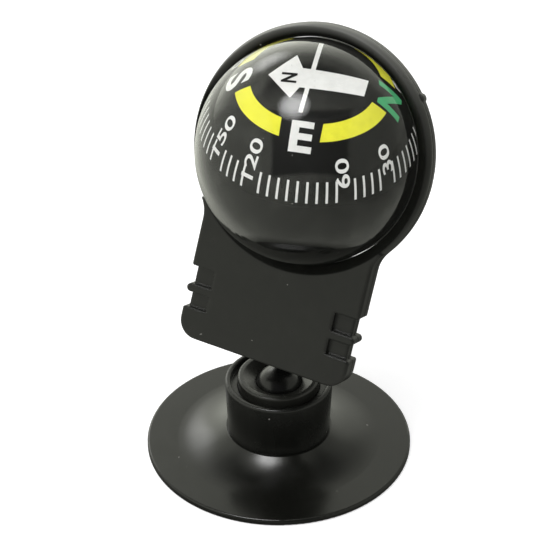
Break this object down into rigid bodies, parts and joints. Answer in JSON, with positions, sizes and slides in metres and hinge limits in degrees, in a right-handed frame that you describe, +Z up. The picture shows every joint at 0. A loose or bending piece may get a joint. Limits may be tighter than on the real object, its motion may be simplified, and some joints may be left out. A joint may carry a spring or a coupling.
{
  "type": "dashboard compass",
  "caption": "Liquid-filled ball compass: a clear capsule with a printed float in a ring with a grip plate, on a ball joint over a suction cup.",
  "frame": {"origin": "middle of the suction cup's foot, on the surface that it holds", "axes": "+Z up, away from that surface; -Y towards the viewer, to whom the compass is turned"},
  "size_m": [0.0481, 0.046, 0.0758],
  "materials": {
    "cup_rubber": "black, smooth",
    "collar_plastic": "black, satin",
    "socket_plastic": "black, satin",
    "pad_rubber": "dull",
    "stud_plastic": "black, satin",
    "screw_steel": "plain",
    "shell_plastic": "black, fine grain",
    "clear_capsule": "clear, polished",
    "gasket_rubber": "dull",
    "plug_plastic": "plain",
    "liquid": "clear liquid",
    "float_plastic": "dark grey with white, green and yellow printing",
    "ballast_brass": "plain",
    "magnet_metal": "dull",
    "cradle_plastic": "plain"
  },
  "bodies": {
    "base": {"suction_cup": "cup_rubber", "socket_collar": "collar_plastic"},
    "socket": {"ball_socket": "socket_plastic", "friction_pad": "pad_rubber"},
    "stud": {"ball_stud": "stud_plastic", "stud_washer": "screw_steel", "stud_screw": "screw_steel"},
    "head": {"front_shell": "shell_plastic", "rear_shell": "shell_plastic", "shell_screws": "screw_steel", "capsule_front": "clear_capsule", "capsule_rear": "clear_capsule", "capsule_gasket": "gasket_rubber", "filler_plug": "plug_plastic"},
    "liquid": {"damping_liquid": "liquid"},
    "ballast": {"ballast_weight": "ballast_brass"},
    "float": {"float_top": "float_plastic", "float_bottom": "float_plastic", "bar_magnet": "magnet_metal", "magnet_cradle": "cradle_plastic"}
  },
  "joints": [
    {"name": "head_swivel", "type": "hinge", "parent": "base", "child": "socket", "pos_m": [0, 0, 0.0115], "axis": [0, 0, 1], "continuous": true},
    {"name": "head_tilt", "type": "hinge", "parent": "socket", "child": "stud", "pos_m": [0, 0, 0.0115], "axis": [-0.8193, 0.5734, 0], "range_deg": [-62.6, 17.3]},
    {"name": "head_spin", "type": "hinge", "parent": "stud", "child": "head", "pos_m": [0, 0, 0.0115], "axis": [0.2213, 0.3162, 0.9225], "continuous": true},
    {"name": "float_lean_fore", "type": "hinge", "parent": "head", "child": "liquid", "pos_m": [0.00479, 0.00337, 0.05683], "axis": [1, 0, 0], "continuous": true},
    {"name": "float_lean_side", "type": "hinge", "parent": "liquid", "child": "ballast", "pos_m": [0.00479, 0.00337, 0.05683], "axis": [0, 0.9972, 0.075], "continuous": true},
    {"name": "float_heading", "type": "hinge", "parent": "ballast", "child": "float", "pos_m": [0.00479, 0.00337, 0.05683], "axis": [0.0523, -0.0749, 0.9958], "continuous": true}
  ]
}
